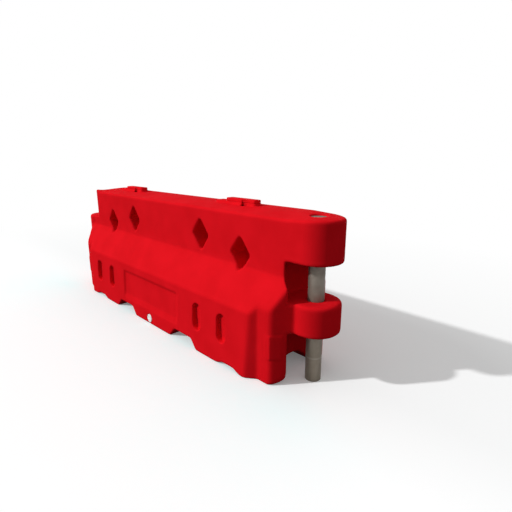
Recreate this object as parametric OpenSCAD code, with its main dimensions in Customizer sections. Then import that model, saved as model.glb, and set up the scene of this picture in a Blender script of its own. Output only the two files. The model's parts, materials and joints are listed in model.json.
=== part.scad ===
// Water-filled road barrier, 2 m pin pitch: a hollow moulded shell with
// hinge lugs at both ends, a steel coupling pin, two lift-off filler lids
// and a screw-in drain plug. Millimetres, +Z up, front face towards -Y,
// the end that carries the pin towards +X, origin on the floor at mid length.

/* [Overall] */
// Distance between the pin axes of the two ends
pin_pitch = 2000; // [1800:10:2600]
// Height of the top face
height = 725; // [690:1:900]
// Width of the shell at the floor
base_w = 449; // [430:1:520]
// Wall thickness of the moulding
wall = 7; // [5:0.5:9]
// Thickness of the shell's floor
floor_t = 8; // [6:0.5:12]

/* [Profile] */
// Thickness of the upright wall
upper_w = 216; // [200:1:240]
// Height at which the shoulder meets the upright wall
shoulder_top_z = 468; // [440:1:500]
// Width over the lower edges of the shoulders
shoulder_w = 419; // [400:1:428]
// Height of the lower edges of the shoulders
shoulder_z = 304; // [280:1:330]
// Radius along the top edges
top_r = 38; // [20:1:44]
// Radius at the upper and lower edge of each shoulder
blend_r = 30; // [12:1:40]

/* [Hinge lugs] */
// Underside of the top lug
top_lug_z = 536; // [520:1:560]
// Top of the lower lug on the pin end
low_lug_top_z = 370; // [350:1:380]
// Underside of the lower lug on the pin end
low_lug_z = 234; // [220:1:250]
// Underside of the bottom lug on the plain end
bottom_lug_z = 25; // [20:1:60]
// Radius of the lugs on the plain end
far_lug_r = 115; // [109:1:118]
// Height left free above and below each lug of the next barrier
lug_gap = 9; // [5:1:15]
// Radius of the round recess behind the pin
near_scoop_r = 131; // [128:1:134]
// Radius of the round recess on the plain end
far_scoop_r = 148; // [140:1:152]
// Radius along the upper edges of the lugs
lug_edge_r = 14; // [6:1:20]
// Radius along the lower edges of the lugs
lug_under_r = 7; // [3:1:12]

/* [Corner columns] */
// Distance of the columns' outer faces from the middle plane
column_y = 187; // [180:1:195]
// Where the front corner cut starts, measured back from the pin axis
cut_start = 224; // [218:1:232]
// Where the front corner cut ends, measured back from the pin axis
cut_end = 162; // [154:1:168]
// Where the column's outer corner lies, measured back from the pin axis
corner_back = 90; // [80:1:96]
// Direction of the faces that run in towards the lugs
end_angle = 52; // [48:1:56]
// Distance by which the plain end reaches further out than the pin end
far_reach = 38; // [30:1:42]
// Radius of the columns' outer corners
corner_r = 30; // [20:1:34]
// Lower edge of the square pads on the column corners
pad_z = 116; // [100:1:140]
// Upper edge of the square pads on the column corners
pad_top_z = 234; // [180:1:260]
// Length of the rounding under the tips of the columns
tip_run = 50; // [30:1:55]
// Height of the rounding under the tips of the columns
tip_rise = 92; // [50:1:100]

/* [Feet] */
// Half width of the centre foot
centre_foot = 191; // [170:1:210]
// Outer edge of the fork openings
fork_outer = 429; // [400:1:450]
// Height of the fork openings
fork_h = 48; // [30:1:60]
// Slope of the fork openings' sides, measured along the floor
fork_slope = 41; // [20:1:50]
// Radius in the upper corners of the fork openings
fork_r = 16; // [8:1:20]
// Inner edge of the low notches
notch_inner = 590; // [560:1:620]
// Outer edge of the low notches
notch_outer = 778; // [740:1:790]
// Height of the low notches
notch_h = 20; // [10:1:25]
// Radius in the upper corners of the low notches
notch_r = 7; // [4:1:9]
// Half width of the end arch at the floor
arch_half = 117; // [90:1:118]
// Half width of the end arch at its top
arch_top_half = 52; // [30:1:60]
// Height of the end arch
arch_h = 65; // [50:1:80]
// Radius in the upper corners of the end arch
arch_r = 12; // [8:1:24]

/* [Diamond openings] */
// Distance of the inner pair from the middle
inner_diamond_x = 346; // [320:1:370]
// Height of the centres of the inner pair
inner_diamond_z = 569; // [550:1:590]
// Distance of the outer pair from the middle
outer_diamond_x = 644; // [620:1:670]
// Height of the centres of the outer pair
outer_diamond_z = 521; // [505:1:540]
// Half width of a diamond
diamond_half_w = 65; // [45:1:72]
// Half height of a diamond
diamond_half_h = 84; // [60:1:92]
// Radius in the corners of a diamond
diamond_r = 12; // [6:1:20]

/* [Side pockets] */
// Distance of the inner pockets from their own middle line
inner_slot_x = 472; // [455:1:490]
// Distance of the outer pockets from their own middle line
outer_slot_x = 661; // [640:1:680]
// Shift of the pockets and the panel towards the plain end
side_shift = 35; // [20:1:50]
// Width of a pocket
slot_w = 62; // [40:1:70]
// Lower end of a pocket
slot_z = 110; // [90:1:130]
// Upper end of a pocket
slot_top_z = 250; // [230:1:262]
// Depth of a pocket
slot_depth = 22; // [10:1:30]
// Half length of the sunk panel
panel_half = 295; // [250:1:320]
// Lower edge of the sill under the panel
panel_sill_z = 80; // [76:1:90]
// Lower edge of the panel's flat
panel_z = 112; // [100:1:125]
// Upper edge of the panel
panel_top_z = 255; // [220:1:262]
// Depth of the panel
panel_depth = 9; // [4:1:12]

/* [Coupling pin] */
// Outer radius of the steel tube
pin_r = 35; // [30:0.5:38]
// Wall thickness of the steel tube
pin_wall = 4; // [2.5:0.5:6]
// Depth of the pin's top end below the top face
pin_sink = 8; // [2:1:55]
// Thickness of the plate that closes the pin's top end
pin_plate_t = 6; // [4:1:10]
// Depth of the closing plate below the end of the tube
pin_plate_sink = 1; // [0.5:0.5:3]
// Radial clearance of the pin in the lugs
pin_clearance = 0.9; // [0.6:0.1:1.3]
// Radius of the lead-in at the mouth of each lug hole
lead_in = 3; // [1:0.5:4]

/* [Filler openings] */
// Distance of the filler lids from the middle
filler_x = 528; // [515:1:540]
// Distance of the filler lids behind the middle plane
filler_y = 24; // [10:1:28]
// Height of the moulded seat above the top face
seat_h = 13; // [8:1:18]
// Length by which the moulded seat runs on towards the plain end
seat_run = 75; // [40:1:90]
// Rim of the moulded seat left free around the lid
seat_rim = 2; // [1:0.5:5]
// Length of a filler mouth
mouth_l = 168; // [140:1:170]
// Width of a filler mouth
mouth_w = 30; // [24:1:34]
// Radius of the corners of a mouth
mouth_r = 10; // [5:1:12]
// Length of a lid
lid_l = 206; // [196:1:220]
// Width of a lid
lid_w = 46; // [44:1:56]
// Thickness of a lid's plate
lid_t = 12; // [8:1:16]
// Depth of the lid's skirt inside the mouth
skirt_depth = 20; // [12:1:30]
// Clearance of the skirt in the mouth
skirt_clearance = 0.6; // [0.4:0.1:1.2]
// Wall thickness of the hollow skirt
skirt_wall = 4; // [3:0.5:6]
// Width of the finger notch in the front edge of a lid and its seat
finger_w = 38; // [24:1:50]
// Depth of the finger notch
finger_depth = 8; // [4:0.5:9]
// Distance of the finger notch from the lid's middle
finger_x = 32; // [0:1:60]
// Thickness of the lid gasket
gasket_t = 2.5; // [1.5:0.5:4]
// Width of the lid gasket's ring
gasket_w = 4; // [3:0.5:5]

/* [Drain] */
// Position of the drain along the shell
drain_x = -25; // [-100:1:100]
// Height of the drain's axis above the floor
drain_z = 31; // [30:1:36]
// Radius of the round recess for the plug's head
drain_recess_r = 26; // [25.5:0.5:28]
// Depth of the recess at the drain's axis
drain_recess = 9; // [7:0.5:12]
// Radius of the plug's head
plug_head_r = 24; // [21:0.5:25]
// Thickness of the plug's head
plug_head_t = 7; // [5:0.5:9]
// Radius of the plug's threaded shank
plug_shank_r = 14; // [11:0.5:15]
// Length of the plug's threaded shank
plug_shank_l = 22; // [14:1:30]
// Clearance of the shank in the insert
thread_clearance = 0.25; // [0.2:0.05:0.4]
// Wall thickness of the threaded insert
insert_wall = 4; // [3:0.5:5]
// Length of the threaded insert
insert_l = 24; // [16:1:32]
// Radius of the insert's inner flange
insert_flange_r = 22; // [20:0.5:24]
// Thickness of the insert's inner flange
insert_flange_t = 4; // [3:0.5:6]
// Thickness of the drain seal
seal_t = 2.5; // [1.5:0.5:3.5]
// Width of the drain seal's ring
seal_w = 4; // [2.5:0.5:5]
// Width of the driver slot across the plug's head
driver_w = 6; // [4:0.5:8]
// Depth of the driver slot
driver_depth = 3; // [2:0.5:4]

/* [Hidden] */
$fn = 96;

pin_x = pin_pitch / 2;
lug_r = upper_w / 2;
bore_r = pin_r + pin_clearance;
pin_top_z = height - pin_sink;
mid_lug_z = low_lug_top_z + lug_gap;
mid_lug_top_z = top_lug_z - lug_gap;
bottom_lug_top_z = low_lug_z - lug_gap;
seat_l = lid_l + 2 * seat_rim + seat_run;
seat_w = lid_w + 2 * seat_rim;
seat_r = mouth_r + seat_rim;
// How far cutting shapes run past the surfaces that they cut
past = 5;
// How far two shapes that are joined run into each other
overlap = 1;
// Smallest radius left in a rounding that is drawn in
least_r = 1;
// Angle between the steps of a rounding
arc_step = 12;
// Number of steps in the rounding under a column's tip
tip_steps = 8;
// Reach of cutting shapes that go right through
far_out = pin_x + 2 * far_scoop_r;

// Half outline of the cross-section, floor to top
profile_half = [
    [base_w / 2, 0],
    [shoulder_w / 2, shoulder_z],
    [upper_w / 2, shoulder_top_z],
    [upper_w / 2, height]
];
profile = concat(profile_half, [for (i = [3:-1:0]) [-profile_half[i].x, profile_half[i].y]]);
profile_radii = [0, blend_r, blend_r, top_r, top_r, blend_r, blend_r, 0];

// Half outline of the lower body seen from above, at one end, going outwards
cut_y = base_w / 2 + 2 * past;
// Where the end faces of the plan stop, inside the round recesses
end_inner_y = 60;
end_inner_back = corner_back - (column_y - end_inner_y) / tan(end_angle);
function end_points(pin, reach, side) = [
    [side * (pin - cut_start + reach), -cut_y],
    [side * (pin - cut_end + reach), -column_y],
    [side * (pin - corner_back + reach), -column_y],
    [side * (pin - end_inner_back + reach), -end_inner_y]
];
near_half = end_points(pin_x, 0, 1);
far_half = end_points(pin_x, far_reach, -1);
function flip(points) = [for (i = [len(points) - 1:-1:0]) [points[i].x, -points[i].y]];
function back(points) = [for (i = [len(points) - 1:-1:0]) points[i]];
plan = concat(near_half, flip(near_half), back(flip(far_half)), back(far_half));
function end_radii(r) = [0, r / 2, r, 0];
function plan_radii(r) = concat(
    end_radii(r), back(end_radii(r)), end_radii(r), back(end_radii(r))
);

// How far beyond the pin axis the face that runs in at end_angle meets a recess
function tip_out(scoop_r, reach) =
    let (d = (reach - corner_back) * sin(end_angle) + column_y * cos(end_angle))
    d * sin(end_angle) - sqrt(pow(scoop_r, 2) - pow(d, 2)) * cos(end_angle);

// Distance of the front face from the middle plane at height z
function face_y(z) = base_w / 2 - (base_w - shoulder_w) / 2 * z / shoulder_z;

// Direction from one point to another
function unit(a, b) = (b - a) / norm(b - a);
// The direction to the left of u
function left(u) = [-u.y, u.x];
// Points of a counter-clockwise outline moved inwards by d
function inset(points, d) = [
    for (i = [0:len(points) - 1])
        let (
            n = len(points),
            u = left(unit(points[(i + n - 1) % n], points[i])),
            v = left(unit(points[i], points[(i + 1) % n]))
        )
        points[i] + d * (u + v) / (1 + u * v)
];
// +1 at a corner that bulges outwards, -1 at one that turns in
function bulge(points, i) =
    let (n = len(points), p = points[i])
    sign(cross(p - points[(i + n - 1) % n], points[(i + 1) % n] - p));

// v turned by angle a
function turned(v, a) = [v.x * cos(a) - v.y * sin(a), v.x * sin(a) + v.y * cos(a)];
// Points of the rounding of radius r at corner i, in steps of arc_step
function corner_points(points, i, r) =
    let (
        n = len(points),
        p = points[i],
        before = unit(points[(i + n - 1) % n], p),
        after = unit(p, points[(i + 1) % n]),
        turn = bulge(points, i) * acos(before * after),
        centre = p + bulge(points, i) * r * (left(before) + left(after)) / (1 + before * after),
        steps = ceil(abs(turn) / arc_step)
    )
    [for (k = [0:steps]) centre - bulge(points, i) * r * turned(left(before), turn * k / steps)];
// Points of an outline with its corners rounded
function rounded_points(points, radii) = [
    for (i = [0:len(points) - 1])
        each radii[i] > 0 ? corner_points(points, i, radii[i]) : [points[i]]
];

// A counter-clockwise outline with its corners rounded
module rounded(points, radii) {
    polygon(rounded_points(points, radii));
}

// An outline moved inwards by d, with roundings that keep their centres
module rounded_inset(points, radii, d) {
    rounded(
        inset(points, d),
        [
            for (i = [0:len(points) - 1])
                radii[i] == 0 ? 0 : max(radii[i] - bulge(points, i) * d, least_r)
        ]
    );
}

// An outline in Y and Z, extruded along X
module along_x(x0, x1) {
    translate([x0, 0, 0]) rotate([90, 0, 90]) linear_extrude(x1 - x0) children();
}

// An outline in X and Z, extruded along Y
module along_y(y0, y1) {
    translate([0, y1, 0]) rotate([90, 0, 0]) linear_extrude(y1 - y0) children();
}

// The lower body between two heights, drawn in by d
module lower_body(d, r, z0, z1) {
    intersection() {
        along_x(-far_out, far_out) rounded_inset(profile, profile_radii, d);
        translate([0, 0, z0]) linear_extrude(z1 - z0) rounded_inset(plan, plan_radii(r), d);
    }
}

// The upright wall from pin axis to pin axis, drawn in by d
module upright_wall(d) {
    intersection() {
        along_x(-pin_x, pin_x) rounded_inset(profile, profile_radii, d);
        translate([-pin_x, d - upper_w / 2, low_lug_top_z])
            cube([2 * pin_x, upper_w - 2 * d, height]);
    }
}

// A round lug between two heights, drawn in by d
module lug(x, r, z0, z1, r_top, d) {
    points = [[0, z0 + d], [r - d, z0 + d], [r - d, z1 - d], [0, z1 - d]];
    translate([x, 0, 0]) rotate_extrude()
        rounded(points, [0, max(lug_under_r - d, least_r), max(r_top - d, least_r), 0]);
}

// A round recess about a pin axis, widened by d
module scoop(x, r, z0, z1, d) {
    translate([x, 0, z0 - d]) cylinder(r = r + d, h = z1 - z0 + 2 * d);
}

// What the recesses take away at the pin end
module near_scoops(d) {
    scoop(pin_x, near_scoop_r, low_lug_top_z, top_lug_z, d);
    scoop(pin_x, near_scoop_r, -past, low_lug_z, d);
}

// What the recesses take away at the plain end
module far_scoops(d) {
    scoop(-pin_x, far_scoop_r, mid_lug_top_z, height + past, d);
    scoop(-pin_x, far_scoop_r, bottom_lug_top_z, mid_lug_z, d);
    scoop(-pin_x, far_scoop_r, -past, bottom_lug_z, d);
}

// What the elliptic roundings under the tips of the columns take away, widened by d
module tip_cuts(d) {
    near_tip = pin_x + tip_out(near_scoop_r, 0);
    far_tip = -pin_x - tip_out(far_scoop_r, far_reach);
    tips = inset([[far_tip, 0], [near_tip, 0], [near_tip, height], [far_tip, height]], d);
    run = tip_run - d;
    rise = tip_rise - d;
    for (i = [0, 1]) {
        side = 2 * i - 1;
        arc = [
            for (k = [0:tip_steps])
                let (a = 90 * k / tip_steps)
                tips[i] + [side * run * (sin(a) - 1), rise * (1 - cos(a))]
        ];
        waste = [
            tips[i] + [side * base_w, rise],
            tips[i] + [side * base_w, -base_w],
            tips[i] + [-side * run, -base_w]
        ];
        along_y(-base_w, base_w) polygon(i == 1 ? concat(arc, waste) : back(concat(arc, waste)));
    }
}

// The diamond openings, widened by d
module diamonds(d) {
    w = diamond_half_w;
    h = diamond_half_h;
    outline = inset([[0, -h], [w, 0], [0, h], [-w, 0]], -d);
    centres = [[inner_diamond_x, inner_diamond_z], [outer_diamond_x, outer_diamond_z]];
    for (side = [-1, 1], at = centres)
        along_y(-base_w, base_w) translate([side * at.x, at.y])
            rounded(outline, [for (i = [1:4]) diamond_r + d]);
}

// An opening under the shell with sloped sides, widened by d
module floor_gap(x0, x1, h, slope, r, d) {
    drop = past * slope / h;
    rounded(
        inset([[x0 - drop, -past], [x1 + drop, -past], [x1 - slope, h], [x0 + slope, h]], -d),
        [0, 0, r + d, r + d]
    );
}

// The fork openings and the low notches, widened by d
module floor_gaps(d) {
    for (side = [0, 1]) mirror([side, 0, 0]) along_y(-base_w, base_w) {
        floor_gap(centre_foot, fork_outer, fork_h, fork_slope, fork_r, d);
        floor_gap(notch_inner, notch_outer, notch_h, notch_h, notch_r, d);
    }
}

// The arch that runs in from the recess behind the pin, widened by d
module end_arch(d) {
    along_x(notch_outer - notch_h - d, pin_x)
        floor_gap(-arch_half, arch_half, arch_h, arch_half - arch_top_half, arch_r, d);
}

// The side pockets of both faces, widened by d
module side_pockets(d) {
    deep_y = face_y((slot_z + slot_top_z) / 2) - slot_depth - d;
    r = slot_w / 2 + d;
    for (face = [0, 1], x = [-outer_slot_x, -inner_slot_x, inner_slot_x, outer_slot_x])
        mirror([0, face, 0]) along_y(-base_w, -deep_y) translate([x - side_shift, 0]) {
            translate([0, slot_z + slot_w / 2]) circle(r);
            translate([0, slot_top_z - slot_w / 2]) circle(r);
            translate([-r, slot_z + slot_w / 2]) square([2 * r, slot_top_z - slot_z - slot_w]);
        }
}

// The sunk panels of both faces with their sloped sills, widened by d
module panels(d) {
    section = [
        [-base_w, panel_sill_z],
        [-face_y(panel_sill_z), panel_sill_z],
        [panel_depth - face_y(panel_z), panel_z],
        [panel_depth - face_y(panel_top_z), panel_top_z],
        [-base_w, panel_top_z]
    ];
    for (face = [0, 1]) mirror([0, face, 0])
        along_x(-panel_half - side_shift - d, panel_half - side_shift + d)
            polygon(inset(section, -d));
}

// The holes that take the coupling pins, widened by d
module pin_holes(d) {
    for (x = [-pin_x, pin_x]) translate([x, 0, -past]) cylinder(r = bore_r + d, h = height + 2 * past);
}

// The flared mouth of a pin hole at height z, opening up or down
module lead_in_ring(x, z, up) {
    mouth_r = bore_r + lead_in;
    top = lead_in + overlap;
    translate([x, 0, z - up * lead_in]) mirror([0, 0, up > 0 ? 0 : 1])
        rotate_extrude() polygon([[0, 0], [bore_r, 0], [mouth_r, lead_in], [mouth_r, top], [0, top]]);
}

// All flared mouths of the pin holes
module lead_ins() {
    for (z = [low_lug_top_z, height]) lead_in_ring(pin_x, z, 1);
    for (z = [low_lug_z, top_lug_z]) lead_in_ring(pin_x, z, -1);
    for (z = [bottom_lug_top_z, mid_lug_top_z]) lead_in_ring(-pin_x, z, 1);
    for (z = [bottom_lug_z, mid_lug_z]) lead_in_ring(-pin_x, z, -1);
}

// A rectangle about the origin with rounded corners
module round_rect(l, w, r) {
    rounded([[-l / 2, -w / 2], [l / 2, -w / 2], [l / 2, w / 2], [-l / 2, w / 2]], [r, r, r, r]);
}

// The raised seats of the filler lids, drawn in by d
module filler_seats(d) {
    for (side = [-1, 1]) translate([side * filler_x - seat_run / 2, filler_y, height - wall - top_r])
        linear_extrude(seat_h + wall + top_r - d)
            round_rect(seat_l - 2 * d, seat_w - 2 * d, max(seat_r - d, least_r));
}

// The finger notches in the seats, widened by d
module finger_notches(d) {
    x = finger_x - finger_w / 2 - d;
    for (side = [-1, 1])
        translate([side * filler_x + x, filler_y - seat_w / 2 - past, height - d])
            cube([finger_w + 2 * d, finger_depth + past + d, seat_h + past]);
}

// The mouths through the filler seats
module filler_mouths() {
    for (side = [-1, 1]) translate([side * filler_x, filler_y, height - wall - overlap])
        linear_extrude(seat_h + wall + past) round_rect(mouth_l, mouth_w, mouth_r);
}

// The round recess for the drain plug's head, widened by d
module drain_recess(d) {
    translate([drain_x, drain_seat_y + d, drain_z]) rotate([90, 0, 0])
        cylinder(r = drain_recess_r + d, h = base_w / 2 + past);
}

// The shell's outer form drawn in by d, without its finest details
module form(d) {
    difference() {
        union() {
            difference() {
                union() {
                    lower_body(d, corner_r, d > 0 ? floor_t : 0, height);
                    upright_wall(d);
                    if (d == 0) intersection() {
                        lower_body(0, 0, pad_z, pad_top_z);
                        corner_zone();
                    }
                }
                near_scoops(d);
                far_scoops(d);
                tip_cuts(d);
            }
            lug(pin_x, lug_r, top_lug_z, height, top_r, d);
            lug(pin_x, lug_r, low_lug_z, low_lug_top_z, lug_edge_r, d);
            lug(-pin_x, far_lug_r, mid_lug_z, mid_lug_top_z, lug_edge_r, d);
            lug(-pin_x, far_lug_r, bottom_lug_z, bottom_lug_top_z, lug_edge_r, d);
            filler_seats(d);
        }
        pin_holes(d);
        diamonds(d);
        floor_gaps(d);
        end_arch(d);
        side_pockets(d);
        panels(d);
        drain_recess(d);
        finger_notches(d);
    }
}

// The space around the columns' outer corners
module corner_zone() {
    near_x = pin_x - corner_back - corner_r;
    far_x = -pin_x + corner_back - 2 * far_reach;
    for (face = [0, 1], x = [near_x, far_x]) mirror([0, face, 0])
        translate([x, -base_w, 0]) cube([corner_r + far_reach, base_w - column_y / 2, height]);
}

// The insert's bore
insert_bore_r = plug_shank_r + thread_clearance;
insert_r = insert_bore_r + insert_wall;
// The plane on which the drain seal sits
drain_seat_y = -(face_y(drain_z) - drain_recess);

// The hollow one-piece moulding
module shell() {
    color([0.81, 0.06, 0.09]) difference() {
        form(0);
        form(wall);
        lead_ins();
        filler_mouths();
        translate([drain_x, drain_seat_y + wall + overlap, drain_z]) rotate([90, 0, 0])
            cylinder(r = insert_r, h = wall + 2 * overlap);
    }
}

// The steel tube that hinges two barriers together
module pin_tube() {
    color([0.45, 0.42, 0.38]) translate([pin_x, 0, 0]) difference() {
        cylinder(r = pin_r, h = pin_top_z);
        translate([0, 0, -past]) cylinder(r = pin_r - pin_wall, h = pin_top_z + 2 * past);
    }
}

// The plate welded into the tube's top end
module pin_top_plate() {
    color([0.5, 0.48, 0.45]) translate([pin_x, 0, pin_top_z - pin_plate_sink - pin_plate_t])
        cylinder(r = pin_r - pin_wall, h = pin_plate_t);
}

// A lid with its finger notch and the hollow skirt that plugs the mouth
module filler_lid(x) {
    skirt_l = mouth_l - 2 * skirt_clearance;
    skirt_w = mouth_w - 2 * skirt_clearance;
    skirt_r = mouth_r - skirt_clearance;
    skirt_h = gasket_t + skirt_depth;
    hollow_l = skirt_l - 2 * skirt_wall;
    hollow_w = skirt_w - 2 * skirt_wall;
    color([0.84, 0.07, 0.1]) translate([x, filler_y, height + seat_h + gasket_t]) difference() {
        union() {
            linear_extrude(lid_t) round_rect(lid_l, lid_w, mouth_r);
            translate([0, 0, -skirt_h]) linear_extrude(skirt_h + overlap)
                round_rect(skirt_l, skirt_w, skirt_r);
        }
        translate([0, 0, -skirt_h - past]) linear_extrude(skirt_h + past)
            round_rect(hollow_l, hollow_w, skirt_r - skirt_wall);
        translate([finger_x - finger_w / 2, -seat_w / 2, -past])
            cube([finger_w, finger_depth, lid_t + 2 * past]);
    }
}

// The rubber ring under a lid
module filler_gasket(x) {
    hole_l = mouth_l - 2 * skirt_clearance;
    hole_w = mouth_w - 2 * skirt_clearance;
    hole_r = mouth_r - skirt_clearance;
    color([0.08, 0.08, 0.09]) translate([x, filler_y, height + seat_h])
        linear_extrude(gasket_t) difference() {
            round_rect(hole_l + 2 * gasket_w, hole_w + 2 * gasket_w, hole_r + gasket_w);
            round_rect(hole_l, hole_w, hole_r);
        }
}

// The threaded ring moulded into the shell's wall at the drain
module drain_insert() {
    color([0.72, 0.58, 0.28]) translate([drain_x, drain_seat_y, drain_z]) rotate([-90, 0, 0])
        difference() {
            union() {
                cylinder(r = insert_r, h = insert_l);
                translate([0, 0, wall]) cylinder(r = insert_flange_r, h = insert_flange_t);
            }
            translate([0, 0, -past]) cylinder(r = insert_bore_r, h = insert_l + 2 * past);
        }
}

// The rubber ring under the plug's head
module drain_seal() {
    color([0.08, 0.08, 0.09]) translate([drain_x, drain_seat_y, drain_z]) rotate([90, 0, 0])
        difference() {
            cylinder(r = insert_bore_r + seal_w, h = seal_t);
            translate([0, 0, -past]) cylinder(r = insert_bore_r, h = seal_t + 2 * past);
        }
}

// The screw plug with a driver slot across its head
module drain_plug() {
    shank_h = seal_t + plug_shank_l;
    color([0.95, 0.95, 0.94]) translate([drain_x, drain_seat_y - seal_t, drain_z]) rotate([90, 0, 0])
        difference() {
            union() {
                cylinder(r = plug_head_r, h = plug_head_t);
                translate([0, 0, -shank_h]) cylinder(r = plug_shank_r, h = shank_h + overlap);
            }
            translate([-plug_head_r, -driver_w / 2, plug_head_t - driver_depth])
                cube([2 * plug_head_r, driver_w, driver_depth + past]);
        }
}

shell();
pin_tube();
pin_top_plate();
filler_lid(filler_x);  // filler_lid_near
filler_lid(-filler_x);  // filler_lid_far
filler_gasket(filler_x);  // filler_gasket_near
filler_gasket(-filler_x);  // filler_gasket_far
drain_insert();
drain_seal();
drain_plug();
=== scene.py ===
# %% [markdown]
# # A water-filled road barrier
# The barrier is one hollow piece of red polyethylene, moulded in a turning oven, so every
# edge is soft. A steel tube stands in the lugs at one end, two lids close the filler
# mouths in the top, and a white screw plug closes the drain at the foot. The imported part
# gives the place and size of each of these, and this lesson makes what the eye sees.

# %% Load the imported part
import json

import bmesh
import bpy
import numpy as np
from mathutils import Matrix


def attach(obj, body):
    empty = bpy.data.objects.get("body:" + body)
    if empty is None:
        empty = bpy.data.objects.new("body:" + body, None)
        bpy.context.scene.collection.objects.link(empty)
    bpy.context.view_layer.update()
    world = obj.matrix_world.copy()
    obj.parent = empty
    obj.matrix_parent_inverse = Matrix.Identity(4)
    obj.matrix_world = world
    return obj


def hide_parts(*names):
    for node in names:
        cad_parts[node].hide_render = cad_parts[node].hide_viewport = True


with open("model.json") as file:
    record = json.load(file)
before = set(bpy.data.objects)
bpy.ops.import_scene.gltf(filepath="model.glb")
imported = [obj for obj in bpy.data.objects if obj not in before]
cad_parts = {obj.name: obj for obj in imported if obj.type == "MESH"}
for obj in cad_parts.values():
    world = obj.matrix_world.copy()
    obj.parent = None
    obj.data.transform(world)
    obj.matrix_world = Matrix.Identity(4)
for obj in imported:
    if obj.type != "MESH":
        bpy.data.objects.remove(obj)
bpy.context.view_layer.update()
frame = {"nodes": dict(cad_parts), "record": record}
MM = 0.001

# %% [markdown]
# ## Lengths of the moulding
# The shell could be the CAD solid with bevelled edges, but hundreds of short faces meet
# along its cuts, and a bevel breaks there. A distance field has no such trouble: it is one
# number at each point of space, negative in the plastic, and edges are rounded by blending
# numbers. It needs the same lengths as the part, which this cell repeats in millimetres.

# %% Lengths in millimetres
PIN_X, HEIGHT, BASE_W, WALL = 1000.0, 725.0, 449.0, 7.0
UPPER_W, SHOULDER_TOP_Z, SHOULDER_W, SHOULDER_Z = 216.0, 468.0, 419.0, 304.0
TOP_FALL, TOP_CROWN, TOP_R, BLEND_R = 19.0, 8.5, 6.0, 16.0
TOP_LUG_Z, LOW_LUG_TOP_Z, LOW_LUG_Z, BOTTOM_LUG_Z = 536.0, 370.0, 234.0, 25.0
LUG_R, FAR_LUG_R, LUG_GAP = UPPER_W / 2, 115.0, 9.0
NEAR_SCOOP_R, FAR_SCOOP_R, LUG_EDGE_R, LUG_UNDER_R = 131.0, 148.0, 14.0, 4.0
COLUMN_Y, CUT_START, CUT_END, CORNER_BACK = 187.0, 224.0, 162.0, 90.0
END_ANGLE, FAR_REACH, CORNER_R = np.radians(52.0), 38.0, 30.0
TIP_RUN, TIP_RISE = 56.0, 70.0
PAD_Z, PAD_TOP_Z = 116.0, 234.0
BORE_R, PIN_R, PIN_WALL, PIN_TOP_Z, LEAD_IN = 35.9, 35.0, 4.0, 717.0, 3.0
FILLER_NEAR, FILLER_FAR, FILLER_Y, SEAT_H, SEAT_RUN = 528.0, -528.0, 24.0, 13.0, 75.0
SEAT_L, SEAT_W, SEAT_R = 285.0, 50.0, 12.0
MOUTH_L, MOUTH_W, MOUTH_R = 168.0, 30.0, 10.0
LID_L, LID_W, LID_T, SKIRT, SKIRT_WALL = 206.0, 46.0, 12.0, 20.0, 4.0
FINGER_X, FINGER_W, FINGER_DEPTH = 32.0, 35.0, 6.5
GASKET_T, GASKET_W, SKIRT_GAP = 2.5, 4.0, 0.6
DRAIN_X, DRAIN_Z, DRAIN_R, DRAIN_DEPTH = -25.0, 31.0, 26.0, 9.0
DIAMONDS, DIAMOND_HALF_W, DIAMOND_HALF_H, DIAMOND_R = [(346, 569), (644, 521)], 65.0, 84.0, 12.0
POCKETS, POCKET_LOW, POCKET_HIGH, POCKET_R, POCKET_DEPTH = (-696, -507, 437, 626), 141, 219, 31.0, 22.0
PANEL_X, PANEL_HALF_L, PANEL_SILL, PANEL_LOW, PANEL_HIGH, PANEL_DEPTH = -35.0, 295.0, 80, 112, 255, 9
ARCH_X, ARCH_HALF_W, ARCH_H, ARCH_R = 744, 117, 65, 12
# An opening under the base: start, end, height, how far its sides lean in, corner radius.
FORK_OPENING, LOW_NOTCH = (194, 425, 47, 41, 14), (604, 749, 14, 34, 7)
# The top's fall fades out beyond the pin, and its last stretch at the plain end is level.
FALL_END, FALL_RUN, LEVEL_X, LEVEL_RUN = 60, 160, -890, 60
CHAMBER_REACH, CHAMBER_Z, NOTCH_SINK, LID_ROOF, LID_RIM = 128, 480, 9, 4, 6.5
UNDER = 60.0


def face_y(z):
    """Distance of the lower front face from the middle plane at height z: it leans in evenly."""
    return BASE_W / 2 - (BASE_W - SHOULDER_W) / 2 * z / SHOULDER_Z


SEAT_Y = -(face_y(DRAIN_Z) - DRAIN_DEPTH)
print("drain seat at y =", round(SEAT_Y, 2), "mm")

# %% [markdown]
# ## Outlines and their distances
# An outline is a row of corners. Rounding replaces a corner with points of an arc that
# touches both sides. The distance to an outline is the least distance to any of its sides,
# with a minus sign inside.

# %% Rounded outlines


def rounded(corners, radii, step=np.radians(6.0)):
    """Outline with arcs: centre = corner + r (n1 + n2) / (1 + n1.n2) for the side normals n1, n2."""
    corners = np.asarray(corners, float)
    out = []
    for i, r in enumerate(radii):
        p, a, b = corners[i], corners[i - 1], corners[(i + 1) % len(corners)]
        if r <= 0:
            out.append(p[None])
            continue
        u, v = (p - a) / np.linalg.norm(p - a), (b - p) / np.linalg.norm(b - p)
        side = np.sign(u[0] * v[1] - u[1] * v[0])
        turn = side * np.arccos(np.clip(u @ v, -1, 1))
        nu, nv = np.array([-u[1], u[0]]), np.array([-v[1], v[0]])
        centre = p + side * r * (nu + nv) / (1 + u @ v)
        t = np.linspace(0, turn, int(abs(turn) / step) + 2)
        spoke = np.stack([nu[0] * np.cos(t) - nu[1] * np.sin(t), nu[0] * np.sin(t) + nu[1] * np.cos(t)], 1)
        out.append(centre - side * r * spoke)
    return np.concatenate(out)


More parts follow.
